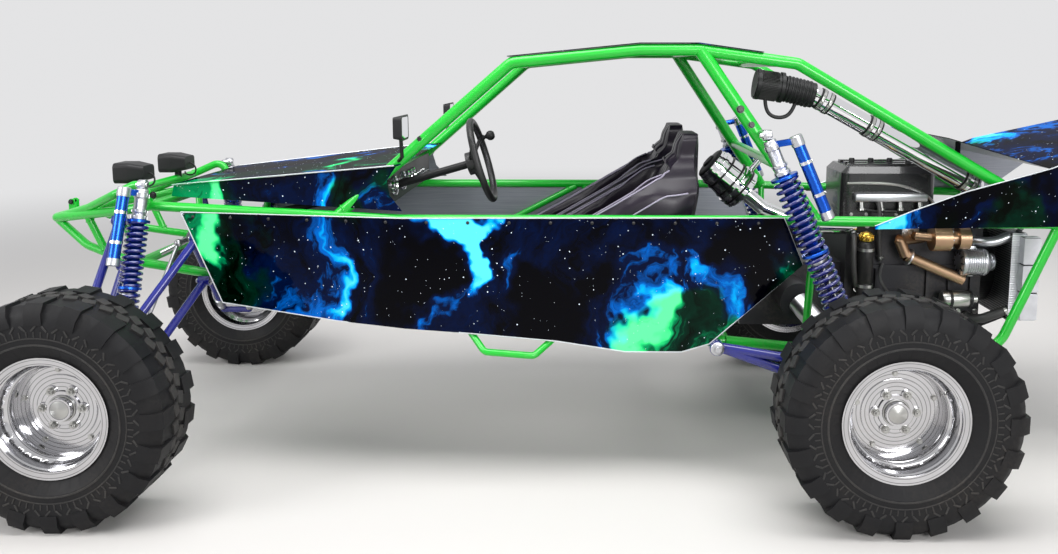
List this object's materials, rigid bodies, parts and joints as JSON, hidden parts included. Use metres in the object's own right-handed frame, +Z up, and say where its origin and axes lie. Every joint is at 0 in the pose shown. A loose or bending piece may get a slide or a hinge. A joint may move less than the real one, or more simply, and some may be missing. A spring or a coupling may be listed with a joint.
{
  "type": "dune buggy",
  "caption": "Open two-seat sand rail with a tube frame and roll cage, long-travel suspension, rear engine and large off-road tyres; it rolls and steers.",
  "frame": {"origin": "on the ground, under the middle of the bounding box", "axes": "+Z up, front of the vehicle towards -X, driver's side (left) towards -Y"},
  "size_m": [4.55, 2.092, 1.6718],
  "materials": {
    "frame_green": "gloss powder coat",
    "panel_art": "gloss black with flame pattern",
    "arm_blue": "gloss blue",
    "shock_blue": "anodised blue with silver",
    "bare_aluminium": "brushed",
    "chrome": "polished",
    "seat_vinyl": "black vinyl",
    "black_plastic": "satin black",
    "engine_dark": "oily dark casting",
    "tan_steel": "heat-tinted bare steel",
    "black_steel": "satin black",
    "machined_steel": "machined",
    "tyre_rubber": "dull black",
    "lamp_black": "gloss black"
  },
  "bodies": {
    "chassis": {"floor_pan": "bare_aluminium", "lower_frame": "frame_green", "belt_frame": "frame_green", "nose_frame": "frame_green", "rear_cradle": "frame_green", "cage_left": "frame_green", "cage_right": "frame_green", "cage_cross": "frame_green", "side_panel_left": "panel_art", "side_panel_right": "panel_art", "hood": "panel_art", "nose_side_panels": "panel_art", "roof_panel": "panel_art", "tail_side_panels": "panel_art", "tail_deck": "panel_art", "dash": "black_plastic", "seat_left": "seat_vinyl", "seat_right": "seat_vinyl", "steering_column": "black_steel", "rack_housing": "machined_steel", "front_upper_arms": "arm_blue", "front_lower_arms": "arm_blue", "front_coilovers": "shock_blue", "trailing_arms": "arm_blue", "rear_coilovers": "shock_blue", "half_shafts": "machined_steel", "transaxle": "engine_dark", "engine_block": "engine_dark", "engine_cover": "black_plastic", "intake_pipe": "chrome", "air_filter": "black_plastic", "canister": "chrome", "exhaust": "tan_steel", "radiator": "bare_aluminium", "headlamps": "lamp_black", "mirrors": "lamp_black"},
    "steering_wheel": {"steering_wheel": "black_plastic"},
    "steering_rack": {"steering_rack": "machined_steel"},
    "knuckle_left": {"knuckle_left": "machined_steel"},
    "knuckle_right": {"knuckle_right": "machined_steel"},
    "wheel_fl": {"rim_front_left": "chrome", "tyre_front_left": "tyre_rubber"},
    "wheel_fr": {"rim_front_right": "chrome", "tyre_front_right": "tyre_rubber"},
    "wheel_rl": {"rim_rear_left": "chrome", "tyre_rear_left": "tyre_rubber"},
    "wheel_rr": {"rim_rear_right": "chrome", "tyre_rear_right": "tyre_rubber"}
  },
  "joints": [
    {"name": "steer_left", "type": "hinge", "parent": "chassis", "child": "knuckle_left", "pos_m": [-1.833, -0.745, 0.405], "axis": [0, 0, 1], "range_deg": [-28, 28]},
    {"name": "steer_right", "type": "hinge", "parent": "chassis", "child": "knuckle_right", "pos_m": [-1.833, 0.745, 0.405], "axis": [0, 0, 1], "range_deg": [-28, 28]},
    {"name": "rack_slide", "type": "slide", "parent": "chassis", "child": "steering_rack", "axis": [0, 1, 0], "range_m": [-0.04225, 0.04225]},
    {"name": "wheel_turn", "type": "hinge", "parent": "chassis", "child": "steering_wheel", "pos_m": [-0.43, -0.28, 1.21], "axis": [0.9613, 0, 0.2756], "range_deg": [-270, 270]},
    {"name": "spin_fl", "type": "hinge", "parent": "knuckle_left", "child": "wheel_fl", "pos_m": [-1.833, -0.9, 0.405], "axis": [0, 1, 0], "continuous": true},
    {"name": "spin_fr", "type": "hinge", "parent": "knuckle_right", "child": "wheel_fr", "pos_m": [-1.833, 0.9, 0.405], "axis": [0, 1, 0], "continuous": true},
    {"name": "spin_rl", "type": "hinge", "parent": "chassis", "child": "wheel_rl", "pos_m": [1.053, -0.9, 0.405], "axis": [0, 1, 0], "continuous": true},
    {"name": "spin_rr", "type": "hinge", "parent": "chassis", "child": "wheel_rr", "pos_m": [1.053, 0.9, 0.405], "axis": [0, 1, 0], "continuous": true}
  ],
  "couplings": [
    {"joint": "steer_right", "follows": "steer_left", "ratio": 1},
    {"joint": "rack_slide", "follows": "steer_left", "m_per_rad": 0.086452},
    {"joint": "wheel_turn", "follows": "steer_left", "ratio": 9.6}
  ]
}
